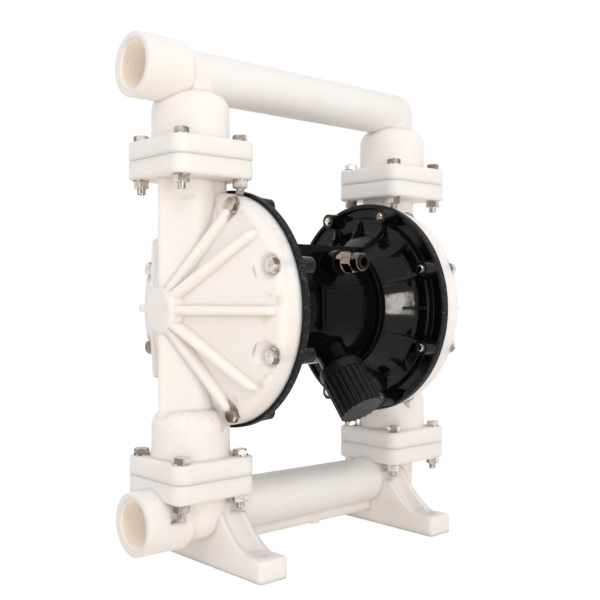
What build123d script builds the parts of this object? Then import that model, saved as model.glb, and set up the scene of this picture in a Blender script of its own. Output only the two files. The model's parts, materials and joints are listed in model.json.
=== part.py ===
from build123d import *
import os
from math import cos, radians, sin, sqrt

os.makedirs("parts", exist_ok=True)

# Overall layout. X runs along the diaphragm shaft, -Y is the side of the air inlet, Z is up.
# Heights add up from the ground: lower pipe, lower joint, disc, upper joint, upper pipe.
disc_r = 140.0
joint_x = 176.0
part_x = 124.75
suction_pipe_z = 59.5
suction_neck_h = 47.5
disc_gap_low = 54.0
disc_gap_high = 34.5
discharge_neck_h = 101.5
suction_joint_z = suction_pipe_z + suction_neck_h
shaft_z = suction_joint_z + disc_gap_low + disc_r
discharge_joint_z = shaft_z + disc_r + disc_gap_high
discharge_pipe_z = discharge_joint_z + discharge_neck_h
clear = 0.3
slip = 0.05

# Pipework
pipe_r = 29.0
pipe_bore_r = 22.0
port_x = 256.0
port_r = 36.5
port_thread_r = 28.3
port_thread_depth = 44.0
port_len = 50.0
flange_half = 56.0
flange_corner = 14.5
flange_t = 22.0
flange_edge = 2.5
joint_bolt = 41.5
dome_r = 45.7
dome_rise = 57.0
dome_round = 21.0
suction_pipe_r = 33.0
suction_pipe_rise = 2.0
neck_left_r = 42.0
neck_right_r = 30.0
keel_bottom = 18.0
keel_half_t = 7.0

# Ball valves
ball_r = 25.0
ball_lift = 12.0
cage_r = 33.5
guide_r = 26.0
guide_t = 7.0
stop_r = 12.0
cage_h = 58.0
seat_r = 32.0
seat_bore_r = 21.0
seat_h = 12.0
seat_chamfer = 2.0
seat_ring_t = 2.5

# Fluid chambers
rim_round = 10.0
rim_face_x = 156.0
dome_mid_r = 84.0
dome_mid_x = 177.0
hub_r = 27.0
hub_base_x = 204.0
hub_x = 222.0
rib_t = 10.0
rib_end_r = disc_r - 13.0
rib_end_x = 168.5
rib_angle = 48.0
blade_angle = 26.0
duct_r = 28.0
duct_bore_r = 19.0
keel_r = 4.5
keel_out = 40.0
bulge_r = 46.3
bulge_h = 77.0
bolt_circle = disc_r - 8.0
bolt_count = 8
pocket_r = 11.0
pocket_flare = 10.0
seat_x = 149.5
clamp_band = 32.0
cavity_r = disc_r - clamp_band

# Air chambers
air_disc_r = disc_r + 4.0
air_rim_x = 114.6
groove_x = 119.0
ring_x = 110.0
neck_x = 72.0
neck_r0 = 81.0
neck_flange_r = neck_r0 + 3.0
ring_r = bolt_circle - 25.0
wall = 8.0
air_edge = 1.2
boss_r = 10.0
boss_root_r = 11.4
boss_x = 96.5

# Fasteners
m10_r = 5.0
m10_hole_r = 5.4
m10_af = 16.0
m10_head = 6.4
m10_nut = 8.0
m10_washer_r = 9.8
m10_washer = 1.6
bolt_tip_x = 94.3
discharge_tip = 39.3
suction_tip = 39.5
m6_r = 3.0
m6_head_r = 5.0
m6_head = 6.0
screw_circle = neck_r0 - 21.0

# Centre body and air valve
body_r = 74.0
body_top = shaft_z + 80.0
flange_x = 62.0
valve_y = -22.0
valve_z = shaft_z + 50.0
chest_r = 30.0
sleeve_r = 17.0
spool_r = 12.0
spool_travel = 8.0
pad_y = -81.0
pad_step = 2.0
inlet_z = shaft_z + 57.4
inlet_boss_r = 16.0
inlet_boss_y = -76.0
g_half_r = 10.5
pilot_r = 4.0
pilot_z = shaft_z - 45.0
pilot_travel = 5.0

# Diaphragm rod
rod_r = 13.0
stroke = 20.0
diaphragm_t = 6.0
diaphragm_r = bolt_circle - 10.5
plate_r = 62.0
plate_t = 8.0
stud_r = 8.0

# Muffler
muffler_r = 28.0
muffler_len = 68.0
muffler_head = 17.0
muffler_tilt = 51.5
muffler_neck_r = 13.0
muffler_end_y = -110.8
muffler_end_z = shaft_z - 123.5
flute_count = 22
flute_r = 2.9

# Feet
foot_x = 145.0
foot_half_w = 20.4
foot_half_l = 116.6
toe_h = 24.5
toe_flat = 34.0
foot_bolt_y = 97.0
foot_hole_r = 6.0
foot_wall = 9.0
foot_root_y = suction_pipe_r
foot_root_z = suction_pipe_z + 14.5
slope_mid_y = 55.0
slope_mid_h = 20.0
scoop_depth = 12.0
scoop_round = 5.0
toe_round = 5.0


def box(x0, x1, y0, y1, z0, z1):
    solid = Box(x1 - x0, y1 - y0, z1 - z0)
    return Pos((x0 + x1) / 2, (y0 + y1) / 2, (z0 + z1) / 2) * solid


def along_x(r, x0, x1, y=0.0, z=shaft_z):
    return Pos((x0 + x1) / 2, y, z) * Rot(0, 90, 0) * Cylinder(r, abs(x1 - x0))


def along_y(r, y0, y1, x=0.0, z=shaft_z):
    return Pos(x, (y0 + y1) / 2, z) * Rot(90, 0, 0) * Cylinder(r, abs(y1 - y0))


def along_z(r, z0, z1, x=0.0, y=0.0):
    return Pos(x, y, (z0 + z1) / 2) * Cylinder(r, abs(z1 - z0))


def turned(points):
    # a solid of revolution about the shaft, from (x, radius) corners
    wire = Polyline(*[(x, 0, r) for x, r in points], close=True)
    return Pos(0, 0, shaft_z) * revolve(make_face(wire), Axis.X)


def left_of(solid):
    return mirror(solid, Plane.YZ)


def bolt_angles():
    return [360.0 / bolt_count * (k + 0.5) for k in range(bolt_count)]


def screw_angles():
    return [60 * k for k in range(6)]


def on_circle(solid, angle):
    # turn a solid about the shaft, 0 degrees is +Y
    return Pos(0, 0, shaft_z) * Rot(angle, 0, 0) * Pos(0, 0, -shaft_z) * solid


def corners():
    return [(sx * joint_bolt, sy * joint_bolt) for sx in (-1, 1) for sy in (-1, 1)]


def square_flange(x, z0, z1):
    outline = RectangleRounded(2 * flange_half, 2 * flange_half, flange_corner)
    plate = Pos(x, 0, z0) * extrude(outline, z1 - z0)
    return fillet(plate.edges().filter_by(Plane.XY), flange_edge)


def bolt_holes(x, z0, z1):
    return [along_z(m10_hole_r, z0, z1, x + dx, dy) for dx, dy in corners()]


def spot_faces(x, z0, z1, r):
    return [along_z(r, z0, z1, x + dx, dy) for dx, dy in corners()]


# Ball valve pieces

def ball_z(z):
    # height of a ball that rests on the inner edge of the seat at joint height z
    return z - seat_chamfer + sqrt(ball_r**2 - seat_bore_r**2) + 0.02


def ball(x, z):
    return Pos(x, 0, ball_z(z)) * Sphere(ball_r)


def seat(x, z):
    ring = along_z(seat_r - clear, z - seat_h, z, x)
    ring -= along_z(seat_bore_r, z - seat_h - 1, z + 1, x)
    edge = ring.edges().filter_by(GeomType.CIRCLE).group_by(Axis.Z)[-1].sort_by(SortBy.RADIUS)[0]
    ring = chamfer(edge, seat_chamfer)
    groove = along_z(seat_r, z - seat_h / 2 - seat_ring_t / 2, z - seat_h / 2 + seat_ring_t / 2, x)
    groove -= along_z(seat_r - seat_ring_t, z - seat_h, z, x)
    return ring - groove


def seat_seal(x, z):
    band = along_z(seat_r, z - seat_h / 2 - seat_ring_t / 2, z - seat_h / 2 + seat_ring_t / 2, x)
    return band - along_z(seat_r - seat_ring_t, z - seat_h, z, x)


def cage(x, z):
    # round chamber around a ball above the joint at z, with four guide ribs that end in stops
    top = z + cage_h
    stop = ball_z(z) + ball_lift + sqrt(ball_r**2 - stop_r**2) + 0.1
    room = along_z(cage_r, z - 1, top, x)
    for k in range(4):
        rib = box(guide_r, cage_r + 2, -guide_t / 2, guide_t / 2, z + 2, stop + 1)
        rib += box(stop_r, cage_r + 2, -guide_t / 2, guide_t / 2, stop, top + 1)
        room -= Pos(x, 0, 0) * Rot(0, 0, 45 + 90 * k) * rib
    return room


# Manifolds

def port_collar(z):
    collar = along_x(port_r, -port_x, -port_x + port_len + 14, 0, z)
    inner = collar.edges().filter_by(GeomType.CIRCLE).group_by(Axis.X)[-1]
    collar = fillet(inner, port_r - pipe_r - 0.6)
    outer = collar.edges().filter_by(GeomType.CIRCLE).group_by(Axis.X)[0]
    return fillet(outer, 1.5)


def port_bore(z):
    hole = along_x(port_thread_r, -port_x - 1, -port_x + port_thread_depth, 0, z)
    cone = Pos(-port_x + 0.5, 0, z) * Rot(0, 90, 0) * Cone(port_thread_r + 1.5, port_thread_r, 3)
    return hole + cone + along_x(pipe_bore_r, -port_x, joint_x, 0, z)


def cage_dome(x):
    tower = along_z(dome_r, discharge_joint_z + flange_t - 3, discharge_joint_z + flange_t + dome_rise, x)
    top = tower.edges().filter_by(GeomType.CIRCLE).group_by(Axis.Z)[-1]
    return fillet(top, dome_round)


def discharge_manifold():
    z = discharge_pipe_z
    body = along_x(pipe_r, -port_x + 20, joint_x, 0, z) + Pos(joint_x, 0, z) * Sphere(pipe_r)
    body += port_collar(z)
    for x in (-joint_x, joint_x):
        body += square_flange(x, discharge_joint_z, discharge_joint_z + flange_t)
        body += cage_dome(x)
        body += along_z(pipe_r, discharge_joint_z + flange_t, z, x)
    body -= port_bore(z)
    body -= Pos(joint_x, 0, z) * Sphere(pipe_bore_r)
    for x in (-joint_x, joint_x):
        body -= cage(x, discharge_joint_z)
        body -= along_z(pipe_bore_r, discharge_joint_z + cage_h - 1, z, x)
        for hole in bolt_holes(x, discharge_joint_z - 1, discharge_joint_z + flange_t + 1):
            body -= hole
    return body


def foot_slope(s, knee, drop):
    # hollow slope from the toe up to the pipe, mirrored by s, its upper part lowered by drop
    middle = (0, s * slope_mid_y, toe_h + slope_mid_h - drop)
    return ThreePointArc((0, s * knee, toe_h), middle, (0, s * foot_root_y, foot_root_z - drop))


def foot(x):
    # one transverse foot, its side profile drawn in the YZ plane and cut out of a bar
    knee = foot_half_l - toe_flat
    outline = [Line((0, -foot_half_l, 0), (0, foot_half_l, 0))]
    outline.append(Line((0, foot_root_y, foot_root_z), (0, -foot_root_y, foot_root_z)))
    for s in (-1, 1):
        outline.append(Line((0, s * foot_half_l, 0), (0, s * foot_half_l, toe_h)))
        outline.append(Line((0, s * foot_half_l, toe_h), (0, s * knee, toe_h)))
        outline.append(foot_slope(s, knee, 0))
    bar = extrude(make_face(outline), foot_half_w, dir=(1, 0, 0), both=True)
    ends = bar.edges().filter_by(Axis.Z).group_by(Axis.Y)
    bar = fillet(ends[0] + ends[-1], toe_round)
    rims = bar.edges().group_by(Axis.Y)
    top = [e for e in rims[0] + rims[-1] if e.center().Z > toe_h - 1]
    bar = fillet(top, toe_round / 2)
    pit = foot_half_w - foot_wall
    start = knee - 3
    over = foot_root_z + 16
    for s in (-1, 1):
        scoop = [
            foot_slope(s, start, scoop_depth),
            Line((0, s * foot_root_y, foot_root_z - scoop_depth), (0, s * foot_root_y, over)),
            Line((0, s * foot_root_y, over), (0, s * start, over)),
            Line((0, s * start, over), (0, s * start, toe_h)),
        ]
        cut = extrude(make_face(scoop), pit, dir=(1, 0, 0), both=True)
        bar -= fillet(cut.edges().filter_by(GeomType.CIRCLE), scoop_round)
        bar += along_z(11, toe_h - 2, toe_h + 1.2, 0, s * foot_bolt_y)
        bar -= along_z(foot_hole_r, -1, toe_h + 4, 0, s * foot_bolt_y)
    return Pos(x, 0, 0) * bar


def suction_neck(x, r):
    bottom = suction_pipe_z - pipe_r + 1
    neck = along_z(r, bottom, suction_joint_z - flange_t + 3, x)
    low = neck.edges().filter_by(GeomType.CIRCLE).group_by(Axis.Z)[0]
    return fillet(low, r - 8)


def suction_pipe():
    # the lower pipe narrows a little from the port to the far elbow
    start = (-port_x + 20, 0, suction_pipe_z + suction_pipe_rise)
    near = Plane(origin=start, z_dir=(1, 0, 0)) * Circle(suction_pipe_r)
    far = Plane(origin=(joint_x, 0, suction_pipe_z), z_dir=(1, 0, 0)) * Circle(pipe_r)
    return loft([near, far])


def suction_manifold():
    z = suction_pipe_z
    body = suction_pipe()
    body += port_collar(z)
    body += box(-foot_x, foot_x, -keel_half_t, keel_half_t, keel_bottom, z)
    body += along_z(keel_half_t + 2, keel_bottom - 2, z, 20)
    for x, r in ((-joint_x, neck_left_r), (joint_x, neck_right_r)):
        body += square_flange(x, suction_joint_z - flange_t, suction_joint_z)
        body += suction_neck(x, r)
    for x in (-foot_x, foot_x):
        body += foot(x)
    body -= port_bore(z)
    for x in (-joint_x, joint_x):
        body -= along_z(seat_r, suction_joint_z - seat_h, suction_joint_z + 1, x)
        body -= along_z(pipe_bore_r, z, suction_joint_z, x)
        for hole in bolt_holes(x, suction_joint_z - flange_t - 20, suction_joint_z + 1):
            body -= hole
        for pocket in spot_faces(x, suction_pipe_z + 2, suction_joint_z - flange_t, 12.5):
            body -= pocket
    return body


# Fluid chambers

def chamber_shell():
    r0 = disc_r - rim_round
    x0 = rim_face_x - rim_round
    k = rim_round * cos(radians(45))
    outer = [
        Line((part_x, 0, 0), (part_x, 0, disc_r)),
        Line((part_x, 0, disc_r), (x0, 0, disc_r)),
        ThreePointArc((x0, 0, disc_r), (x0 + k, 0, r0 + k), (rim_face_x, 0, r0)),
        ThreePointArc((rim_face_x, 0, r0), (dome_mid_x, 0, dome_mid_r), (hub_base_x, 0, hub_r)),
        Line((hub_base_x, 0, hub_r), (hub_base_x, 0, 0)),
        Line((hub_base_x, 0, 0), (part_x, 0, 0)),
    ]
    return Pos(0, 0, shaft_z) * revolve(make_face(outer), Axis.X)


def chamber_cavity():
    depth = hub_base_x - 14
    outer = [
        Line((part_x - 1, 0, 0), (part_x - 1, 0, cavity_r)),
        Line((part_x - 1, 0, cavity_r), (part_x + 12, 0, cavity_r)),
        ThreePointArc((part_x + 12, 0, cavity_r), (dome_mid_x - 12, 0, plate_r + 8), (depth, 0, 0)),
        Line((depth, 0, 0), (part_x - 1, 0, 0)),
    ]
    return Pos(0, 0, shaft_z) * revolve(make_face(outer), Axis.X)


def chamber_rib():
    # one radial rib pointing up, its crest falling from the hub and running out in the rim
    back = part_x + 14
    pts = [(hub_x - 3, 0), (hub_x - 3, hub_r), (rib_end_x, rib_end_r), (rim_face_x - 2, rib_end_r + 7)]
    pts += [(back, rib_end_r), (back, rib_end_r - 9), (hub_base_x - 12, 20), (hub_base_x - 12, 0)]
    wire = Polyline(*[(x, 0, shaft_z + r) for x, r in pts], close=True)
    rib = extrude(make_face(wire), rib_t / 2, dir=(0, 1, 0), both=True)
    crest = [e for e in rib.edges() if e.length > 90 and e.center().X > dome_mid_x]
    outer = [e for e in rib.edges() if e.center().X > rim_face_x and abs(e.center().Y) > 1]
    ends = [e for e in outer if 12 < e.length < 22]
    return fillet(crest + ends, rib_t / 2 - 0.6)


def rib_angles():
    near = [blade_angle, rib_angle, 90, 180 - rib_angle, 180 - blade_angle]
    return near + [360 - angle for angle in near]


def duct():
    section = make_hull((Circle(duct_r) + Pos(keel_out, 0) * Circle(keel_r)).edges())
    pipe = extrude(section, discharge_joint_z - suction_joint_z - 20)
    return Pos(joint_x, 0, suction_joint_z + 10) * pipe


def bulge():
    drum = along_z(bulge_r, suction_joint_z + 10, suction_joint_z + bulge_h, joint_x)
    top = drum.edges().filter_by(GeomType.CIRCLE).group_by(Axis.Z)[-1]
    return fillet(top, bulge_r - duct_r - 0.4)


def fluid_chamber():
    body = chamber_shell()
    hub = along_x(hub_r, hub_base_x - 20, hub_x)
    body += fillet(hub.edges().filter_by(GeomType.CIRCLE).group_by(Axis.X)[-1], 4)
    for angle in rib_angles():
        body += on_circle(chamber_rib(), angle)
    body += duct()
    body += bulge()
    body += box(rim_face_x - 18, joint_x, -20, 20, discharge_joint_z - 60, discharge_joint_z - flange_t + 2)
    body += square_flange(joint_x, suction_joint_z, suction_joint_z + flange_t)
    body += square_flange(joint_x, discharge_joint_z - flange_t, discharge_joint_z)
    body -= chamber_cavity()
    body -= along_x(diaphragm_r + clear, part_x - 1, part_x + diaphragm_t / 2)
    body -= along_z(duct_bore_r, suction_joint_z + cage_h - 1, discharge_joint_z - 5, joint_x)
    body -= cage(joint_x, suction_joint_z)
    body -= along_z(seat_r, discharge_joint_z - seat_h, discharge_joint_z + 1, joint_x)
    for hole in bolt_holes(joint_x, suction_joint_z - 1, suction_joint_z + flange_t + 1):
        body -= hole
    for hole in bolt_holes(joint_x, discharge_joint_z - flange_t - 1, discharge_joint_z + 1):
        body -= hole
    cone = Cone(pocket_r, pocket_r + pocket_flare, 14)
    for angle in bolt_angles():
        pocket = Pos(seat_x + 7, 0, shaft_z + bolt_circle) * Rot(0, 90, 0) * cone
        hole = along_x(m10_hole_r, part_x - 1, seat_x + 1, 0, shaft_z + bolt_circle)
        body -= on_circle(pocket + hole, angle)
    return body


# Air chambers

def cone_r(x):
    # outer radius of the cone between the neck and the ring
    return neck_r0 + (x - neck_x) * (ring_r - 4 - neck_r0) / (ring_x - 3 - neck_x)


def air_shell():
    outer = [
        (neck_x, 0), (neck_x, neck_r0), (ring_x - 3, ring_r - 4), (ring_x, ring_r), (ring_x, ring_r + 15),
        (groove_x, ring_r + 18.5), (groove_x, air_disc_r - 8), (air_rim_x, air_disc_r - 6),
        (air_rim_x, air_disc_r - 2), (air_rim_x + 2, air_disc_r), (part_x, air_disc_r), (part_x, 0),
    ]
    shell = turned(outer)
    circles = shell.edges().filter_by(GeomType.CIRCLE)
    rings = [e for e in circles if e.center().X < air_rim_x + 1 and e.radius > neck_r0 + 10]
    return fillet(rings, air_edge)


def air_room():
    floor = neck_x + wall
    return turned([
        (part_x + 1, 0), (part_x + 1, cavity_r - 2), (part_x - 9, cavity_r - 4),
        (ring_x + 2, ring_r - 12), (floor + 4, neck_r0 - 7), (floor, neck_r0 - 11), (floor, 0),
    ])


def air_rib(crest, t):
    # a radial rib pointing up with its crest through the given (x, radius) points, rooted in the wall
    x0 = crest[0][0] + 2
    root = [(part_x - 6, crest[-1][1]), (part_x - 6, ring_r + 3)]
    root += [(ring_x, ring_r - 8), (x0, cone_r(x0) - wall / 2)]
    wire = Polyline(*[(x, 0, shaft_z + r) for x, r in crest + root], close=True)
    return extrude(make_face(wire), t / 2, dir=(0, 1, 0), both=True)


def air_chamber():
    body = air_shell()
    outer_end = (ring_x - 3, ring_r + 13)
    inner_end = ring_x - 19
    crest = [(neck_x + 1, neck_r0 - 3), (neck_x + 4, neck_r0 + 4), (ring_x - 12, ring_r - 3), outer_end]
    long_rib = air_rib(crest, 5)
    short_rib = air_rib([(inner_end, cone_r(inner_end) - 1.5), (ring_x - 7, ring_r + 2), outer_end], 3)
    depth = part_x - boss_x - 2
    post = Pos(boss_x + depth / 2, 0, shaft_z + bolt_circle) * Rot(0, 90, 0) * Cone(boss_r, boss_root_r, depth)
    hole = along_x(m10_hole_r, boss_x - 1, part_x + 1, 0, shaft_z + bolt_circle)
    insert = along_x(7.0, boss_x - 1, boss_x + 14, 0, shaft_z + bolt_circle)
    for angle in bolt_angles():
        body += on_circle(long_rib, angle)
        body += on_circle(short_rib, angle + 180 / bolt_count)
        body += on_circle(post, angle)
    body -= air_room()
    body -= along_x(diaphragm_r + clear, part_x - diaphragm_t / 2, part_x + 1)
    for angle in bolt_angles():
        body -= on_circle(hole + insert, angle)
    body -= along_x(rod_r + 1.0, neck_x - 1, neck_x + wall + 1)
    body -= along_x(pilot_r + clear, neck_x - 1, neck_x + wall + 1, 0, pilot_z)
    screw_hole = along_x(m6_r + clear, neck_x - 1, neck_x + wall + 1, 0, shaft_z + screw_circle)
    for angle in screw_angles():
        body -= on_circle(screw_hole, angle)
    return body


# Centre body

def front_pad():
    # flat pad on the front of the casting, with a slightly lower step around it
    step = box(-36, 38, pad_y + pad_step, -60, shaft_z - 26, shaft_z + 29.5)
    step = fillet(step.edges().filter_by(Axis.Y) + step.faces().sort_by(Axis.Y)[0].edges(), 2)
    face = box(-32, 34, pad_y, -60, shaft_z - 22, shaft_z + 25.5)
    return step + fillet(face.faces().sort_by(Axis.Y)[0].edges(), 0.8)


def center_body():
    body = along_x(body_r, -flange_x - 1, flange_x + 1)
    body += box(-flange_x, flange_x, -52, 46, shaft_z + 20, body_top)
    body += along_x(chest_r, -flange_x, flange_x, valve_y, valve_z)
    for s in (-1, 1):
        flange = along_x(neck_flange_r, s * flange_x, s * neck_x)
        body += fillet(flange.edges().filter_by(GeomType.CIRCLE), air_edge)
    body += front_pad()
    boss = along_y(inlet_boss_r, inlet_boss_y, -30, 0, inlet_z)
    body += fillet(boss.edges().filter_by(GeomType.CIRCLE).group_by(Axis.Y)[0], 2)
    body += exhaust_boss()
    body -= along_x(rod_r + 1.0, -neck_x - 1, neck_x + 1)
    for s in (-1, 1):
        body -= along_x(rod_r + 4.0, s * (neck_x - 24), s * (neck_x + 1))
    body -= along_x(sleeve_r, -neck_x - 1, neck_x + 1, valve_y, valve_z)
    body -= along_x(pilot_r + 3.0, -neck_x - 1, neck_x + 1, 0, pilot_z)
    body -= along_y(g_half_r, inlet_boss_y - 1, valve_y - sleeve_r + 2, 0, inlet_z)
    body -= exhaust_axis(along_z(muffler_neck_r, -1, 44))
    body -= along_z(7.0, shaft_z - 45, valve_z, 0, valve_y - 10)
    for s in (-1, 1):
        for angle in screw_angles():
            tap = along_x(m6_r, s * (neck_x - 14), s * (neck_x + 1), 0, shaft_z + screw_circle)
            body -= on_circle(tap, angle)
    return body


def exhaust_axis(solid):
    # put a solid drawn along -Z, with the muffler mouth at its origin, onto the exhaust axis
    dy = -sin(radians(90 - muffler_tilt))
    dz = -cos(radians(90 - muffler_tilt))
    mouth = (0, muffler_end_y - dy * muffler_len, muffler_end_z - dz * muffler_len)
    return Pos(*mouth) * Rot(-(90 - muffler_tilt), 0, 0) * solid


def exhaust_boss():
    return exhaust_axis(along_z(20.0, 1.0, 40.0))


# Diaphragms, plates and rod

def diaphragm():
    a = part_x - diaphragm_t / 2
    b = part_x + diaphragm_t / 2
    rise = 12.5
    mid = (plate_r + cavity_r) / 2
    outline = [
        Line((b, 0, stud_r + slip), (b, 0, plate_r + 3)),
        ThreePointArc((b, 0, plate_r + 3), (b + rise, 0, mid), (b, 0, cavity_r - 3)),
        Line((b, 0, cavity_r - 3), (b, 0, diaphragm_r)),
        Line((b, 0, diaphragm_r), (a, 0, diaphragm_r)),
        Line((a, 0, diaphragm_r), (a, 0, cavity_r - 1)),
        ThreePointArc((a, 0, cavity_r - 1), (a + rise, 0, mid), (a, 0, plate_r + 1)),
        Line((a, 0, plate_r + 1), (a, 0, stud_r + slip)),
        Line((a, 0, stud_r + slip), (b, 0, stud_r + slip)),
    ]
    return Pos(0, 0, shaft_z) * revolve(make_face(outline), Axis.X)


def clamp_plate(x0, x1, rim):
    plate = along_x(plate_r, x0, x1)
    edge = plate.edges().filter_by(GeomType.CIRCLE).group_by(Axis.X)[rim]
    plate = fillet(edge, 4)
    return plate - along_x(stud_r + slip, x0 - 1, x1 + 1)


def inner_plate():
    x1 = part_x - diaphragm_t / 2
    return clamp_plate(x1 - plate_t, x1, 0)


def outer_plate():
    x0 = part_x + diaphragm_t / 2
    return clamp_plate(x0, x0 + plate_t, -1)


def diaphragm_screw():
    seat_at = part_x + diaphragm_t / 2 + plate_t
    return on_shaft(hex_bolt(stud_r, 24.0, 10.0, 46.0), seat_at, shaft_z)


def rod():
    end = part_x - diaphragm_t / 2 - plate_t
    shaft = along_x(rod_r, -end, end)
    shaft = chamfer(shaft.edges().filter_by(GeomType.CIRCLE), 1)
    return shaft - along_x(stud_r + slip, end - 36, end + 1) - along_x(stud_r + slip, -end - 1, -end + 36)


def rod_bush():
    return along_x(rod_r + 4.0, neck_x - 20, neck_x) - along_x(rod_r + slip, neck_x - 21, neck_x + 1)


def rod_seal():
    ring = along_x(rod_r + 4.0, neck_x - 24, neck_x - 20 - slip)
    return ring - along_x(rod_r + slip, neck_x - 25, neck_x)


# Air valve

def valve_sleeve():
    sleeve = along_x(sleeve_r, -flange_x, flange_x, valve_y, valve_z)
    sleeve -= along_x(spool_r + slip, -neck_x, neck_x, valve_y, valve_z)
    for x in (-36, -18, 0, 18, 36):
        sleeve -= along_y(3.5, valve_y - 30, valve_y + 30, x, valve_z)
        sleeve -= along_z(3.5, valve_z - 30, valve_z + 30, x, valve_y)
    return sleeve


def valve_spool():
    half = flange_x - spool_travel - clear
    spool = along_x(spool_r, -half, half, valve_y, valve_z)
    for x in (-27, 0, 27):
        core = along_x(6.0, x - 9, x + 9, valve_y, valve_z)
        spool -= along_x(spool_r + 1, x - 9, x + 9, valve_y, valve_z) - core
    return spool


def valve_cap():
    return along_x(sleeve_r, flange_x, neck_x, valve_y, valve_z)


def pilot_bush():
    bush = along_x(pilot_r + 3.0, -neck_x, neck_x, 0, pilot_z)
    return bush - along_x(pilot_r + slip, -neck_x - 1, neck_x + 1, 0, pilot_z)


def pilot_pin():
    # at the end of a stroke the inner plate has just brought the pin to the end of its travel
    reach = part_x - diaphragm_t / 2 - plate_t - stroke + pilot_travel - clear
    pin = along_x(pilot_r, -reach, reach, 0, pilot_z)
    return fillet(pin.edges().filter_by(GeomType.CIRCLE), 1.5)


# Air inlet fitting and muffler

def air_fitting():
    ring = along_y(13.8, inlet_boss_y - 11, inlet_boss_y - slip, 0, inlet_z)
    ring = fillet(ring.edges().filter_by(GeomType.CIRCLE), 1.5)
    nut = Pos(0, inlet_boss_y - 11, inlet_z) * Rot(90, 0, 0) * Rot(0, 0, 8) * hex_prism(24.0, 14.0)
    collar = along_y(11.5, inlet_boss_y - 36.4, inlet_boss_y - 25, 0, inlet_z)
    collar = fillet(collar.edges().filter_by(GeomType.CIRCLE).group_by(Axis.Y)[0], 1.5)
    thread = along_y(g_half_r - slip, inlet_boss_y - slip, -58, 0, inlet_z)
    body = ring + nut + collar + thread
    body -= along_y(6.0, inlet_boss_y - 37, -50, 0, inlet_z)
    return body - along_y(8.0, inlet_boss_y - 37, inlet_boss_y - 27, 0, inlet_z)


def fitting_collet():
    ring = along_y(8.0 - slip, inlet_boss_y - 37.4, inlet_boss_y - 27, 0, inlet_z)
    lip = along_y(9.2, inlet_boss_y - 38.6, inlet_boss_y - 36.5, 0, inlet_z)
    return ring + lip - along_y(6.0, inlet_boss_y - 40, inlet_boss_y, 0, inlet_z)


def muffler():
    section = Circle(muffler_r)
    for k in range(flute_count):
        section -= Rot(0, 0, 360.0 / flute_count * k) * Pos(muffler_r + 0.3, 0) * Circle(flute_r)
    can = extrude(section, -muffler_len)
    can += along_z(muffler_r, -muffler_head, 0)
    hull = along_z(muffler_r + 1, -muffler_len, 0)
    top = hull.edges().filter_by(GeomType.CIRCLE).group_by(Axis.Z)[-1]
    can &= fillet(top, 11)
    can += along_z(muffler_neck_r + 4, -3, 0.8)
    can += along_z(muffler_neck_r - slip, -1, 22)
    can -= along_z(8.0, -muffler_len + 6, 23)
    return exhaust_axis(can)


# Fasteners

def hex_prism(af, h):
    prism = extrude(RegularPolygon(af / 2, 6, major_radius=False), h)
    drum = along_z(af / 2 / cos(radians(30)), 0, h)
    top = drum.edges().filter_by(GeomType.CIRCLE).group_by(Axis.Z)[-1]
    return prism & chamfer(top, af * 0.07)


def hex_bolt(r, af, head, length):
    shank = chamfer(along_z(r, -length, 0).edges().filter_by(GeomType.CIRCLE).group_by(Axis.Z)[0], 1)
    return hex_prism(af, head) + shank


def cap_screw(length):
    head = along_z(m6_head_r, 0, m6_head)
    head -= extrude(RegularPolygon(2.5, 6, major_radius=False), m6_head + 1) - along_z(9, -1, 3)
    return head + along_z(m6_r - slip, -length, 0)


def washer(z0):
    return along_z(m10_washer_r, z0, z0 + m10_washer) - along_z(m10_r + 0.3, z0 - 1, z0 + m10_washer + 1)


def nut():
    return hex_prism(m10_af, m10_nut) - along_z(m10_r + slip, -1, m10_nut + 1)


def on_shaft(solid, x, z):
    # lay a solid drawn along +Z down along +X, at height z
    return Pos(x, 0, z) * Rot(0, 90, 0) * solid


def joint_group(solid, z, turn):
    # one copy at each flange bolt of both joints, each turned a little differently about its own axis
    group = []
    for x in (-joint_x, joint_x):
        for dx, dy in corners():
            spin = (turn + 17 * len(group)) % 60
            group.append(Pos(x + dx, dy, z) * Rot(0, 0, spin) * solid)
    return Compound(group)


def joint_fasteners(name, z, tip):
    top = z + flange_t
    low = z - flange_t
    both = joint_group(washer(0), top, 0).solids() + joint_group(washer(0), low - m10_washer, 0).solids()
    bolt = hex_bolt(m10_r, m10_af, m10_head, top + m10_washer - tip)
    parts[f"{name}_bolts"] = joint_group(bolt, top + m10_washer, 5)
    parts[f"{name}_washers"] = Compound(both)
    parts[f"{name}_nuts"] = joint_group(Rot(180, 0, 0) * nut(), low - m10_washer, 31)


def around(solid, x, r):
    # a group of one solid on each hole of a circle about the shaft
    return Compound([on_circle(on_shaft(Rot(0, 0, (23 * k) % 60) * solid, x, shaft_z + r), a)
                     for k, a in enumerate(bolt_angles())])


def insert():
    return along_z(7.0 - slip, 0, 13) - along_z(m10_r + slip, -1, 14)


def body_screws():
    screw = on_shaft(cap_screw(20), neck_x + wall, shaft_z + screw_circle)
    return Compound([on_circle(screw, a) for a in screw_angles()])


def both_sides(name, solid):
    parts[name + "_right"] = solid
    parts[name + "_left"] = left_of(solid)


parts = {}
for name, z in (("suction", suction_joint_z), ("discharge", discharge_joint_z)):
    for side, x in (("left", -joint_x), ("right", joint_x)):
        parts[f"{name}_ball_{side}"] = ball(x, z)
        parts[f"{name}_seat_{side}"] = seat(x, z)
    parts[f"{name}_seat_seals"] = Compound([seat_seal(-joint_x, z), seat_seal(joint_x, z)])

parts["discharge_manifold"] = discharge_manifold()
parts["suction_manifold"] = suction_manifold()
both_sides("fluid_chamber", fluid_chamber())
both_sides("air_chamber", air_chamber())
both_sides("body_screws", body_screws())
parts["center_body"] = center_body()

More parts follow.
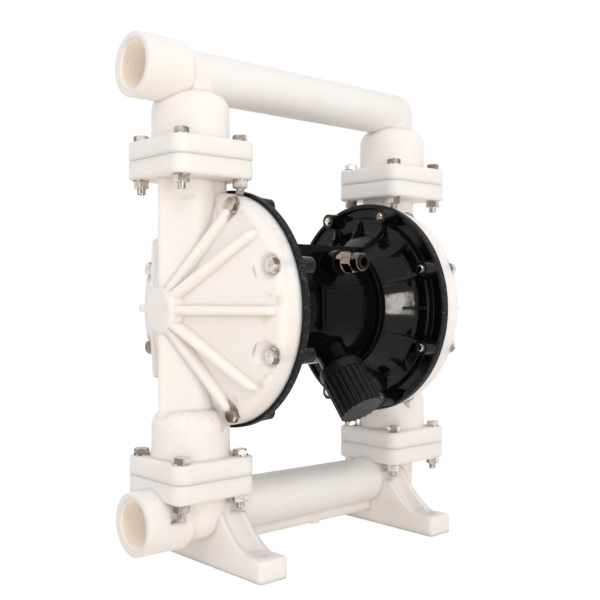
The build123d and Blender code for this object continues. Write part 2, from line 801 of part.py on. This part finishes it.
both_sides("diaphragm", diaphragm())
both_sides("inner_plate", inner_plate())
both_sides("outer_plate", outer_plate())
both_sides("diaphragm_screw", diaphragm_screw())
parts["diaphragm_rod"] = rod()
both_sides("rod_bush", rod_bush())
both_sides("rod_seal", rod_seal())

parts["valve_sleeve"] = valve_sleeve()
parts["valve_spool"] = valve_spool()
both_sides("valve_cap", valve_cap())
parts["pilot_bush"] = pilot_bush()
parts["pilot_pin"] = pilot_pin()

parts["air_fitting"] = air_fitting()
parts["fitting_collet"] = fitting_collet()
parts["muffler"] = muffler()

joint_fasteners("discharge", discharge_joint_z, discharge_joint_z - discharge_tip)
joint_fasteners("suction", suction_joint_z, suction_joint_z - suction_tip)
bolt = hex_bolt(m10_r, m10_af, m10_head, seat_x + m10_washer - bolt_tip_x)
both_sides("chamber_bolts", around(bolt, seat_x + m10_washer, bolt_circle))
both_sides("chamber_washers", around(washer(0), seat_x, bolt_circle))
both_sides("chamber_inserts", around(insert(), boss_x + 0.2, bolt_circle))

for name, solid in parts.items():
    export_step(solid, f"parts/{name}.step")
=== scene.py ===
import json
import math

import bmesh
import bpy
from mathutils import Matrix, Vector


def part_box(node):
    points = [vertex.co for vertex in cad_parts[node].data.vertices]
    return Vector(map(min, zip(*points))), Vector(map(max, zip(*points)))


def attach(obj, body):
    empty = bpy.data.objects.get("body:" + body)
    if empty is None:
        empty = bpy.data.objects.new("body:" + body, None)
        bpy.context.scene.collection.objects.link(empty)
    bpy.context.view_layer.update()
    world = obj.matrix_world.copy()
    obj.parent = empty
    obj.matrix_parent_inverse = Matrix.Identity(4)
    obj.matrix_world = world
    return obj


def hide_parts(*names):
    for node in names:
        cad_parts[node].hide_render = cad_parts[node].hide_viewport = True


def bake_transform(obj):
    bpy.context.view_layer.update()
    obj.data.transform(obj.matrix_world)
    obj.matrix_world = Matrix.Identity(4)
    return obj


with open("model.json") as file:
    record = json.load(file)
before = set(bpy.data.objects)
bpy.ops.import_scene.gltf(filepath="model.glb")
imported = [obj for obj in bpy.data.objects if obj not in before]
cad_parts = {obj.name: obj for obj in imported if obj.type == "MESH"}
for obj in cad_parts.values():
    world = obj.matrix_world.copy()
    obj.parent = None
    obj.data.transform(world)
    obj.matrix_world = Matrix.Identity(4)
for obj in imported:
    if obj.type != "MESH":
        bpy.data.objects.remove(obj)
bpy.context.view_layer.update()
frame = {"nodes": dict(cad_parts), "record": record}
nodes = frame["nodes"]

# Places taken from the frame, in metres
COLLAR_LENGTH = 0.0115
disc_low, disc_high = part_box("air_chamber_left")
ball_low, ball_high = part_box("suction_ball_right")
SHAFT_Z = (disc_low[2] + disc_high[2]) / 2
AIR_RIM_R = (disc_high[2] - disc_low[2]) / 2
JOINT_X = (ball_low[0] + ball_high[0]) / 2
DIAPHRAGM_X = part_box("air_chamber_right")[1][0]
COLLAR_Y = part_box("air_fitting")[0][1] + COLLAR_LENGTH


# Shader building blocks

def material(name, rough=0.5, metallic=0.0, spec=0.5):
    """A principled material, returned with its tree, its shader and its object coordinates."""
    mat = bpy.data.materials.new(name)
    mat.use_nodes = True
    tree = mat.node_tree
    shader = tree.nodes["Principled BSDF"]
    shader.inputs["Roughness"].default_value = rough
    shader.inputs["Metallic"].default_value = metallic
    shader.inputs["Specular IOR Level"].default_value = spec
    coords = tree.nodes.new("ShaderNodeTexCoord")
    return mat, tree, shader, coords.outputs["Object"]


def noise(tree, coords, scale, detail, stretch=(1, 1, 1)):
    mapping = tree.nodes.new("ShaderNodeMapping")
    mapping.inputs["Scale"].default_value = stretch
    tree.links.new(coords, mapping.inputs["Vector"])
    tex = tree.nodes.new("ShaderNodeTexNoise")
    tex.inputs["Scale"].default_value = scale
    tex.inputs["Detail"].default_value = detail
    tree.links.new(mapping.outputs["Vector"], tex.inputs["Vector"])
    return tex.outputs["Fac"]


def remap(tree, value, low, high, to_low=0.0, to_high=1.0):
    """A smooth step from to_low to to_high while value goes from low to high."""
    node = tree.nodes.new("ShaderNodeMapRange")
    node.interpolation_type = "SMOOTHSTEP"
    node.inputs["From Min"].default_value = low
    node.inputs["From Max"].default_value = high
    node.inputs["To Min"].default_value = to_low
    node.inputs["To Max"].default_value = to_high
    tree.links.new(value, node.inputs["Value"])
    return node.outputs["Result"]


def patches(tree, coords, scale, detail, start, full, most=1.0, stretch=(1, 1, 1)):
    """Patches of a noise: 0 where it is below start, most where it is above full."""
    return remap(tree, noise(tree, coords, scale, detail, stretch), start, full, 0.0, most)


def varied(tree, coords, scale, detail, low=0.0, high=1.0):
    """A value that wanders between low and high from place to place."""
    return remap(tree, noise(tree, coords, scale, detail), 0.3, 0.7, low, high)


def mixed(tree, fac, a, b):
    """Colour a where fac is 0 and b where it is 1; each is a tuple or a socket."""
    node = tree.nodes.new("ShaderNodeMix")
    node.data_type = "RGBA"
    tree.links.new(fac, node.inputs["Factor"])
    for socket, value in ((node.inputs["A"], a), (node.inputs["B"], b)):
        if isinstance(value, tuple):
            socket.default_value = (*value, 1.0)
        else:
            tree.links.new(value, socket)
    return node.outputs["Result"]


def bump(tree, shader, height, distance, strength, below=None):
    """Relief on the shader, laid over the normals given as below."""
    node = tree.nodes.new("ShaderNodeBump")
    node.inputs["Distance"].default_value = distance
    node.inputs["Strength"].default_value = strength
    tree.links.new(height, node.inputs["Height"])
    if below is not None:
        tree.links.new(below, node.inputs["Normal"])
    tree.links.new(node.outputs["Normal"], shader.inputs["Normal"])
    return node.outputs["Normal"]


def rounded(tree, radius):
    """Normals that round off sharp edges by radius, for the light to catch."""
    node = tree.nodes.new("ShaderNodeBevel")
    node.samples = 4
    node.inputs["Radius"].default_value = radius
    return node.outputs["Normal"]


def math_node(tree, kind, a, b=None):
    node = tree.nodes.new("ShaderNodeMath")
    node.operation = kind
    for socket, value in zip(node.inputs, (a, b)):
        if value is None:
            continue
        if isinstance(value, (int, float)):
            socket.default_value = value
        else:
            tree.links.new(value, socket)
    return node.outputs["Value"]


def split(tree, coords):
    """The X, Y and Z of coordinates."""
    node = tree.nodes.new("ShaderNodeSeparateXYZ")
    tree.links.new(coords, node.inputs[0])
    return node.outputs


def shaft_radius(tree, coords):
    """Distance of a point from the shaft axis."""
    xyz = split(tree, coords)
    up = math_node(tree, "SUBTRACT", xyz["Z"], SHAFT_Z)
    up2 = math_node(tree, "POWER", up, 2.0)
    side2 = math_node(tree, "POWER", xyz["Y"], 2.0)
    return math_node(tree, "SQRT", math_node(tree, "ADD", up2, side2))


def painted_reflection_coords(tree, coords, turn, drift):
    """Coordinates that jump from one facet to the next and drift slowly from place to place; a
    tone read from them paints light and dark facets, a painted reflection.
    """
    normal = tree.nodes.new("ShaderNodeTexCoord").outputs["Normal"]
    slow = tree.nodes.new("ShaderNodeVectorMath")
    slow.operation = "SCALE"
    slow.inputs["Scale"].default_value = drift
    tree.links.new(coords, slow.inputs[0])
    both = tree.nodes.new("ShaderNodeVectorMath")
    both.operation = "MULTIPLY_ADD"
    both.inputs[1].default_value = (turn, turn, turn)
    tree.links.new(normal, both.inputs[0])
    tree.links.new(slow.outputs["Vector"], both.inputs[2])
    return both.outputs["Vector"]


# Looks

PLAIN_WHITE, CLOUD_WHITE = (0.903, 0.856, 0.834), (0.878, 0.824, 0.79)
SPECK, SMEAR, GRIME = (0.45, 0.38, 0.32), (0.74, 0.66, 0.59), (0.62, 0.53, 0.43)
PAINT, CHIPPED_PAINT = (0.0035, 0.0035, 0.004), (0.075, 0.07, 0.065)
# Share of a metal's colour kept in its painted reflection shade and its wear
REFLECTION_AND_WEAR_SHARE = (0.30, 0.27, 0.25)
DARK_COLLAR = (0.13, 0.105, 0.09)
GRIME_RING = (AIR_RIM_R - 0.034, AIR_RIM_R - 0.020, AIR_RIM_R - 0.010, AIR_RIM_R)
WORN_RIM = (AIR_RIM_R - 0.0025, AIR_RIM_R - 0.0005)


def white_plastic():
    """Moulded plastic with faint clouds, specks and smears, and grime round the disc bolts."""
    mat, tree, shader, co = material("white_plastic")
    clouds = patches(tree, co, scale=9.0, detail=4.0, start=0.35, full=0.7)
    base = mixed(tree, clouds, PLAIN_WHITE, CLOUD_WHITE)
    specks = patches(tree, co, scale=420.0, detail=1.0, start=0.785, full=0.82)
    base = mixed(tree, specks, base, SPECK)
    smears = patches(tree, co, scale=38.0, detail=5.0, start=0.66, full=0.78, most=0.35,
                     stretch=(1, 1, 3))
    base = mixed(tree, smears, base, SMEAR)

    radius = shaft_radius(tree, co)
    starts, full, fades, ends = GRIME_RING
    inside = remap(tree, radius, starts, full)
    outside = remap(tree, radius, fades, ends, to_low=1.0, to_high=0.0)
    ring = math_node(tree, "MULTIPLY", inside, outside)
    spots = patches(tree, co, scale=55.0, detail=6.0, start=0.54, full=0.72, most=0.6)
    base = mixed(tree, math_node(tree, "MULTIPLY", ring, spots), base, GRIME)
    tree.links.new(base, shader.inputs["Base Color"])

    shader.inputs["Subsurface Weight"].default_value = 0.7
    shader.inputs["Subsurface Radius"].default_value = (1.0, 0.8, 0.6)
    shader.inputs["Subsurface Scale"].default_value = 0.012
    gloss = varied(tree, co, scale=60.0, detail=4.0, low=0.36, high=0.50)
    tree.links.new(gloss, shader.inputs["Roughness"])
    waves = bump(tree, shader, noise(tree, co, scale=26.0, detail=2.0),
                 distance=0.0012, strength=0.25, below=rounded(tree, 0.008))
    bump(tree, shader, noise(tree, co, scale=900.0, detail=2.0),
         distance=0.00008, strength=0.6, below=waves)
    return mat


def thread_plastic_painted_glow():
    """The same plastic inside the ports, with a painted glow that lightens the inside of the
    ports.
    """
    mat, _, shader, _ = material("thread_plastic_painted_glow")
    shader.inputs["Base Color"].default_value = (0.86, 0.78, 0.70, 1.0)
    # Painted light: this emission makes the inside of the ports glow.
    shader.inputs["Emission Color"].default_value = (0.86, 0.77, 0.66, 1.0)
    shader.inputs["Emission Strength"].default_value = 0.14
    return mat


def black_paint(name, spec):
    """Gloss paint on a casting, chipped and rough along the rims of the discs."""
    mat, tree, shader, co = material(name, spec=spec)
    rim = remap(tree, shaft_radius(tree, co), *WORN_RIM)
    chips = patches(tree, co, scale=320.0, detail=6.0, start=0.54, full=0.68)
    worn = math_node(tree, "MULTIPLY", rim, chips)
    tree.links.new(mixed(tree, worn, PAINT, CHIPPED_PAINT), shader.inputs["Base Color"])
    rough = remap(tree, rim, 0.0, 1.0, to_low=0.10, to_high=0.5)
    tree.links.new(rough, shader.inputs["Roughness"])
    peel = bump(tree, shader, noise(tree, co, scale=60.0, detail=2.0),
                distance=0.0004, strength=0.3, below=rounded(tree, 0.0024))
    rim_grain = math_node(tree, "MULTIPLY", noise(tree, co, scale=380.0, detail=4.0), rim)
    bump(tree, shader, rim_grain, distance=0.0010, strength=0.8, below=peel)
    return mat


def metal(name, color, rough, scale=240.0):
    """Bare metal with painted reflections in its colour: each facet light or dark by the way it
    faces, and darker patches that are partly wear and partly painted reflection.
    """
    mat, tree, shader, co = material(name, metallic=1.0)
    reflection_and_wear_shade = tuple(c * k for c, k in zip(color, REFLECTION_AND_WEAR_SHARE))
    facets = painted_reflection_coords(tree, co, turn=2.1, drift=14.0)
    # Painted reflection: each facet is made lighter or darker by the way it faces.
    painted_facet_reflection = patches(tree, facets, scale=1.0, detail=1.0, start=0.46, full=0.60)
    # Darker patches, partly wear and partly painted reflection.
    wear_and_painted_reflection = patches(tree, co, scale, detail=2.0, start=0.42, full=0.66, most=0.35)
    base = mixed(tree, wear_and_painted_reflection, mixed(tree, painted_facet_reflection, color, reflection_and_wear_shade), reflection_and_wear_shade)
    tree.links.new(base, shader.inputs["Base Color"])
    gloss = varied(tree, co, scale * 1.7, detail=3.0, low=rough * 0.75, high=rough * 1.35)
    tree.links.new(gloss, shader.inputs["Roughness"])
    bump(tree, shader, noise(tree, co, scale * 2.2, detail=2.0),
         distance=0.00005, strength=0.4, below=rounded(tree, 0.0005))
    return mat


def fitting_metal():
    """Nickel plate, dark on the release collar at the mouth of the fitting."""
    mat = metal("nickel", (0.34, 0.275, 0.235), 0.15)
    tree = mat.node_tree
    shader = tree.nodes["Principled BSDF"]
    plate = shader.inputs["Base Color"].links[0].from_socket
    coords = tree.nodes.new("ShaderNodeTexCoord").outputs["Object"]
    mouth = math_node(tree, "LESS_THAN", split(tree, coords)["Y"], COLLAR_Y)
    tree.links.new(mixed(tree, mouth, plate, DARK_COLLAR), shader.inputs["Base Color"])
    return mat


def soft(name, color, rough, grain=500.0, depth=0.0001, spec=0.5):
    """Rubber or plain plastic with a fine grain and slightly paler patches."""
    mat, tree, shader, co = material(name, rough, spec=spec)
    tone = varied(tree, co, grain * 0.2, detail=4.0)
    pale = tuple(min(1.0, c * 1.25 + 0.004) for c in color)
    tree.links.new(mixed(tree, tone, color, pale), shader.inputs["Base Color"])
    bump(tree, shader, noise(tree, co, grain, detail=3.0), distance=depth, strength=0.7)
    return mat


looks = {
    "white_plastic": white_plastic(),
    "black_paint": black_paint("black_paint", spec=0.20),
    "stainless": metal("stainless", (0.76, 0.70, 0.65), 0.15, scale=130.0),
    "aluminium": metal("aluminium", (0.74, 0.74, 0.75), 0.33),
    # The brass is coloured dark as painted shade, for the inserts standing in shade in their
    # bosses.
    "brass": metal("brass", (0.20, 0.16, 0.10), 0.26),
    "nickel": fitting_metal(),
    "black_rubber": soft("black_rubber", (0.025, 0.025, 0.026), 0.62),
    "ball_rubber": soft("ball_rubber", (0.06, 0.06, 0.065), 0.45),
    "inner_plastic": soft("inner_plastic", (0.80, 0.75, 0.69), 0.45),
    "bearing_plastic": soft("bearing_plastic", (0.50, 0.44, 0.31), 0.45),
    "black_plastic": soft("black_plastic", (0.007, 0.007, 0.008), 0.36, grain=700.0,
                          depth=0.00012, spec=0.16),
}
slot_of = {s["node"]: s["material_slot"] for s in frame["record"]["subparts"]}
for name, obj in nodes.items():
    for slot in obj.material_slots:
        slot.material = looks[slot_of[name]]

# The flat body mirrors more of the studio than the discs do, so its paint is duller
for slot in nodes["center_body"].material_slots:
    slot.material = black_paint("body_paint", spec=0.07)


# Pieces added to the solids

def new_piece(name, verts, faces, look, body="casing", skin=None):
    """A mesh in the slot of a look; skin is the material where it isn't the look's own."""
    mesh = bpy.data.meshes.new(name)
    mesh.from_pydata([tuple(v) for v in verts], [], faces)
    shape = bmesh.new()
    shape.from_mesh(mesh)
    bmesh.ops.recalc_face_normals(shape, faces=shape.faces)
    shape.to_mesh(mesh)
    shape.free()
    mesh.materials.append(skin or looks[look])
    obj = bpy.data.objects.new(name, mesh)
    bpy.context.scene.collection.objects.link(obj)
    if body is not None:
        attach(obj, body)
    return obj


def turned(name, profile, origin, axis, look, steps, skin=None):
    """A ring: profile, a closed list of (along, radius), turned about axis through origin."""
    axis = Vector(axis).normalized()
    side = axis.orthogonal().normalized()
    other = axis.cross(side)
    verts, faces = [], []
    n = len(profile)
    for k in range(steps):
        a = 2 * math.pi * k / steps
        out = side * math.cos(a) + other * math.sin(a)
        for along, r in profile:
            verts.append(Vector(origin) + axis * along + out * r)
        m = (k + 1) % steps
        for i in range(n):
            j = (i + 1) % n
            faces.append((k * n + i, k * n + j, m * n + j, m * n + i))
    return new_piece(name, verts, faces, look, skin=skin)


def thread_profile(length, pitch, root, crest, inner):
    """Saw teeth between root and crest radius, closed by a cylinder of radius inner."""
    turns = max(1, int(length / pitch))
    points = [(0.0, root)]
    for k in range(turns):
        points += [((k + 0.5) * pitch, crest), ((k + 1) * pitch, root)]
    points += [(turns * pitch, inner), (0.0, inner)]
    return points


# Threads on the bolt tips under the nuts. TEETH are the radii of the root, of the crest and
# of the cylinder that closes the ring.
M10_R = 0.005
M10_PITCH = 0.0015
M10_TEETH = (M10_R - 0.0002, M10_R + 0.0003, M10_R - 0.001)
HEAD_CORNER_R = 0.0092
TIP_CHAMFER = 0.001
for group in ("discharge", "suction"):
    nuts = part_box(f"{group}_nuts")
    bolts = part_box(f"{group}_bolts")
    tip_z, nut_z = bolts[0][2] + TIP_CHAMFER, nuts[0][2]
    reach = (bolts[1][0] - bolts[0][0]) / 2 - JOINT_X - HEAD_CORNER_R
    profile = thread_profile(nut_z - tip_z, M10_PITCH, *M10_TEETH)
    signs = [(s, a, b) for s in (-1, 1) for a in (-1, 1) for b in (-1, 1)]
    for i, (sx, dx, dy) in enumerate(signs):
        at = (sx * JOINT_X + dx * reach, dy * reach, tip_z)
        turned(f"thread_{group}_{i + 1}", profile, at, (0, 0, 1), "stainless", steps=20)

# Threads inside the two ports: 2 inch parallel pipe thread, 11 turns to the inch
PORT_THREAD_LENGTH = 0.040
PORT_PITCH = 0.00231
PORT_TEETH = (0.02835, 0.0272, 0.0286)
PORT_CHAMFER = 0.002
PORT_COLLAR_R = 0.0365
LOWER_PIPE_Z = 0.0595
# The port threads glow with painted light.
painted_glow_ports = thread_plastic_painted_glow()
for group in ("discharge", "suction"):
    low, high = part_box(f"{group}_manifold")
    z = high[2] - PORT_COLLAR_R if group == "discharge" else LOWER_PIPE_Z
    profile = thread_profile(PORT_THREAD_LENGTH, PORT_PITCH, *PORT_TEETH)
    place = (low[0] + PORT_CHAMFER, 0, z)
    turned(f"port_thread_{group}", profile, place, (1, 0, 0), "white_plastic", steps=72,
           skin=painted_glow_ports)

# Diaphragms, cut in radial slices, each raised over the roll along its own radius
SLICES = 16
ARC_STEPS = 4
HALF_THICK = 0.003
ROLL_RISE = 0.0125
BORE_R, ROLL_IN_R, ROLL_OUT_R, EDGE_R = 0.0081, 0.0642, 0.1055, 0.1213
ROLL_STEPS = 12
ROLL_STEP = (ROLL_OUT_R - ROLL_IN_R) / ROLL_STEPS
RINGS = [BORE_R, 0.03, 0.05, ROLL_IN_R]
RINGS += [ROLL_IN_R + ROLL_STEP * i for i in range(1, ROLL_STEPS)]
RINGS += [ROLL_OUT_R, 0.112, EDGE_R]


def roll_height(r):
    """How far the roll stands out at radius r."""
    if not ROLL_IN_R < r < ROLL_OUT_R:
        return 0.0
    return ROLL_RISE * math.sin(math.pi * (r - ROLL_IN_R) / (ROLL_OUT_R - ROLL_IN_R))


def diaphragm_sector(side, sign, k):
    """Slice k of a diaphragm: flat at the rim and raised over the roll."""
    step = 2 * math.pi / SLICES
    first = step * (k - 0.5)
    verts, faces = [], []
    for i in range(ARC_STEPS + 1):
        a = first + step * i / ARC_STEPS
        for face in (1, -1):
            for r in RINGS:
                x = sign * (DIAPHRAGM_X + face * HALF_THICK + roll_height(r))
                verts.append((x, r * math.cos(a), SHAFT_Z + r * math.sin(a)))
    n = len(RINGS)
    for i in range(ARC_STEPS):
        b, c = i * 2 * n, (i + 1) * 2 * n
        for j in range(n - 1):
            faces.append((b + j, b + j + 1, c + j + 1, c + j))
            faces.append((b + n + j, c + n + j, c + n + j + 1, b + n + j + 1))
        faces.append((b, c, c + n, b + n))
        faces.append((b + n - 1, b + 2 * n - 1, c + 2 * n - 1, c + n - 1))
    last = ARC_STEPS * 2 * n
    there, back = list(range(n)), list(range(n))[::-1]
    faces.append(back + [n + j for j in there])
    faces.append([last + j for j in there] + [last + n + j for j in back])
    name = f"diaphragm_{side}_slice_{k + 1:02d}"
    obj = new_piece(name, verts, faces, "black_rubber", body=None)

    x = sign * DIAPHRAGM_X
    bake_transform(obj)
    return obj


for side, sign in (("left", -1), ("right", 1)):
    for k in range(SLICES):
        piece = diaphragm_sector(side, sign, k)
        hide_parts(f"diaphragm_{side}")


# Studio

def seen_rays(tree):
    """1 for camera, glossy and transmission rays."""
    path = tree.nodes.new("ShaderNodeLightPath").outputs
    total = math_node(tree, "MAXIMUM", path["Is Camera Ray"], path["Is Glossy Ray"])
    return math_node(tree, "MAXIMUM", total, path["Is Transmission Ray"])


def floor_material():
    """A pale floor, near white where it is seen or mirrored, that still shows the shadow."""
    mat = bpy.data.materials.new("floor_white")
    mat.use_nodes = True
    tree = mat.node_tree
    tree.nodes.clear()
    out = tree.nodes.new("ShaderNodeOutputMaterial")
    plain = tree.nodes.new("ShaderNodeBsdfDiffuse")
    plain.inputs["Color"].default_value = (0.95, 0.90, 0.85, 1)
    faint = tree.nodes.new("ShaderNodeBsdfDiffuse")
    faint.inputs["Color"].default_value = (0.30, 0.30, 0.30, 1)
    glow = tree.nodes.new("ShaderNodeEmission")
    glow.inputs["Strength"].default_value = 0.86
    both = tree.nodes.new("ShaderNodeAddShader")
    tree.links.new(faint.outputs[0], both.inputs[0])
    tree.links.new(glow.outputs[0], both.inputs[1])
    mix = tree.nodes.new("ShaderNodeMixShader")
    tree.links.new(seen_rays(tree), mix.inputs["Fac"])
    tree.links.new(plain.outputs[0], mix.inputs[1])
    tree.links.new(both.outputs[0], mix.inputs[2])
    tree.links.new(mix.outputs[0], out.inputs["Surface"])
    return mat


FLOOR_HALF = 6.0
floor_corners = [(x * FLOOR_HALF, y * FLOOR_HALF, 0)
                 for x, y in ((-1, -1), (1, -1), (1, 1), (-1, 1))]
floor_mesh = bpy.data.meshes.new("floor")
floor_mesh.from_pydata(floor_corners, [], [(0, 1, 2, 3)])
floor_mesh.materials.append(floor_material())
floor = bpy.data.objects.new("floor", floor_mesh)
bpy.context.scene.collection.objects.link(floor)

# World: white where it is seen or mirrored, dimmer as light
WORLD_LIGHT = 0.83
world = bpy.data.worlds.new("studio")
bpy.context.scene.world = world
world.use_nodes = True
sky = world.node_tree
background = sky.nodes["Background"]
background.inputs["Color"].default_value = (1, 1, 1, 1)
level = sky.nodes.new("ShaderNodeMapRange")
level.inputs["To Min"].default_value = WORLD_LIGHT
level.inputs["To Max"].default_value = 1.0
sky.links.new(seen_rays(sky), level.inputs["Value"])
sky.links.new(level.outputs["Result"], background.inputs["Strength"])


def area_light(name, place, target, size, watts, color=(1, 1, 1)):
    data = bpy.data.lights.new(name, "AREA")
    data.shape = "RECTANGLE"
    data.size, data.size_y = size
    data.energy = watts
    data.color = color
    obj = bpy.data.objects.new(name, data)
    obj.location = place
    aim = Vector(target) - Vector(place)
    obj.rotation_euler = aim.to_track_quat("-Z", "Y").to_euler()
    bpy.context.scene.collection.objects.link(obj)


# The tall narrow key gives the bright bar on the right cone; the others fill in softly
WARM, COOL = (1.0, 0.94, 0.87), (0.93, 0.97, 1.0)
centre = (0.0, 0.0, SHAFT_Z)
area_light("key", place=(-0.42, -1.84, 0.33), target=(0.1, 0.0, SHAFT_Z), size=(0.036, 1.25),
           watts=9, color=WARM)
area_light("side", place=(-1.9, -0.6, 0.7), target=centre, size=(1.0, 1.4), watts=2, color=COOL)
area_light("front_top", place=(-0.75, -1.25, 1.55), target=centre, size=(0.7, 0.25), watts=3)

# Camera, solved from the photograph
CAM_PLACE = (-0.7802, -0.8651, 0.3194)
CAM_YAW = -41.96
CAM_PITCH = 89.61
CAM_LENS = 53.18
camera_data = bpy.data.cameras.new("camera")
camera_data.lens = CAM_LENS
camera_data.sensor_width = 36.0
camera = bpy.data.objects.new("camera", camera_data)
camera.location = CAM_PLACE
camera.rotation_euler = (math.radians(CAM_PITCH), 0.0, math.radians(CAM_YAW))
bpy.context.scene.collection.objects.link(camera)
bpy.context.scene.camera = camera
bpy.context.scene.view_settings.view_transform = "Standard"


def plain(box):
    return [[float(v) for v in corner] for corner in box]
